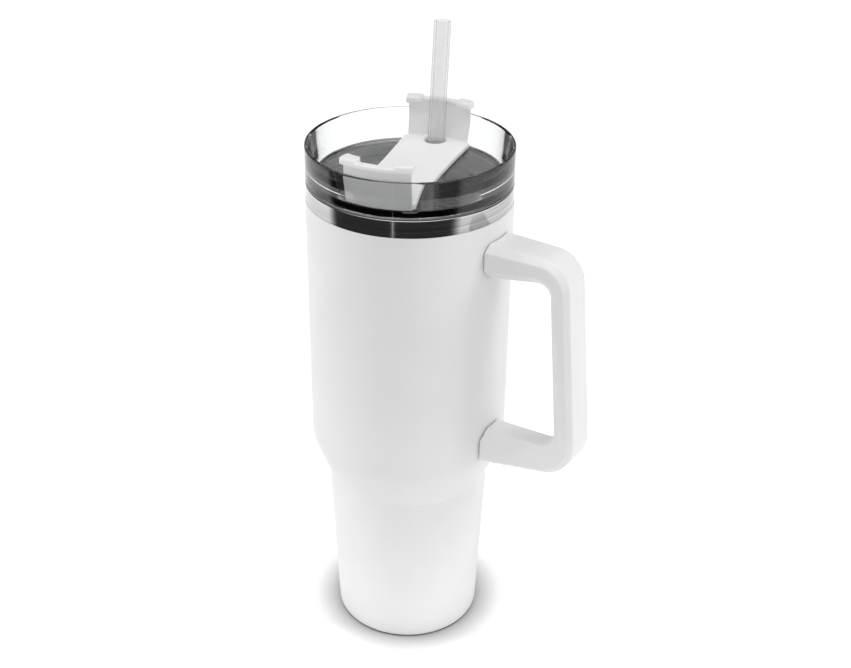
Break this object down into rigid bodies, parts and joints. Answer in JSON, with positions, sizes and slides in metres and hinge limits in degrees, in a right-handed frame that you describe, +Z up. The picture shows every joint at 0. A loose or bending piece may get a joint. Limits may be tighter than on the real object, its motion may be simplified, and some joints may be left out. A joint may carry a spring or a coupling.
{
  "type": "insulated tumbler with lid",
  "caption": "White double-walled steel tumbler with a bolted-on side handle, a clear press-in lid, a white rotating cover and a clear straw",
  "frame": {"origin": "centre of the base, on the surface the tumbler stands on", "axes": "+Z up the tumbler's axis, +X towards the handle, +Y completing a right-handed frame"},
  "size_m": [0.1503, 0.1004, 0.3175],
  "materials": {
    "powder_coat": "matte white powder coat on stainless steel, with a bare brushed band below the rim",
    "stainless_steel": "brushed round the axis",
    "copper_foil": "thin bright foil",
    "white_plastic": "satin white moulded plastic",
    "clear_plastic": "polished clear plastic",
    "silicone": "matte translucent silicone"
  },
  "bodies": {
    "cup": {"outer_shell": "powder_coat", "inner_liner": "stainless_steel", "outer_base": "stainless_steel", "vacuum_seal": "stainless_steel", "getter": "stainless_steel", "radiation_foil": "copper_foil", "base_pad": "silicone", "handle": "white_plastic", "upper_bracket": "stainless_steel", "lower_bracket": "stainless_steel", "upper_handle_screw": "stainless_steel", "lower_handle_screw": "stainless_steel", "upper_screw_cap": "white_plastic", "lower_screw_cap": "white_plastic"},
    "lid": {"lid_body": "clear_plastic", "lid_gasket": "silicone"},
    "cover": {"rotating_cover": "white_plastic", "cover_retainer": "white_plastic", "pivot_seal": "silicone", "cover_seal_pad": "silicone"},
    "straw_body": {"straw": "clear_plastic"}
  },
  "joints": [
    {"name": "lid_lift", "type": "slide", "parent": "cup", "child": "lid", "axis": [0, 0, 1], "range_m": [0, 0.26]},
    {"name": "cover_turn", "type": "hinge", "parent": "lid", "child": "cover", "pos_m": [0, 0, 0.255], "axis": [0, 0, 1], "range_deg": [-12, 12]},
    {"name": "straw_pull", "type": "slide", "parent": "cover", "child": "straw_body", "axis": [0.0028, 0.068, 0.9977], "range_m": [0, 0.25]}
  ]
}
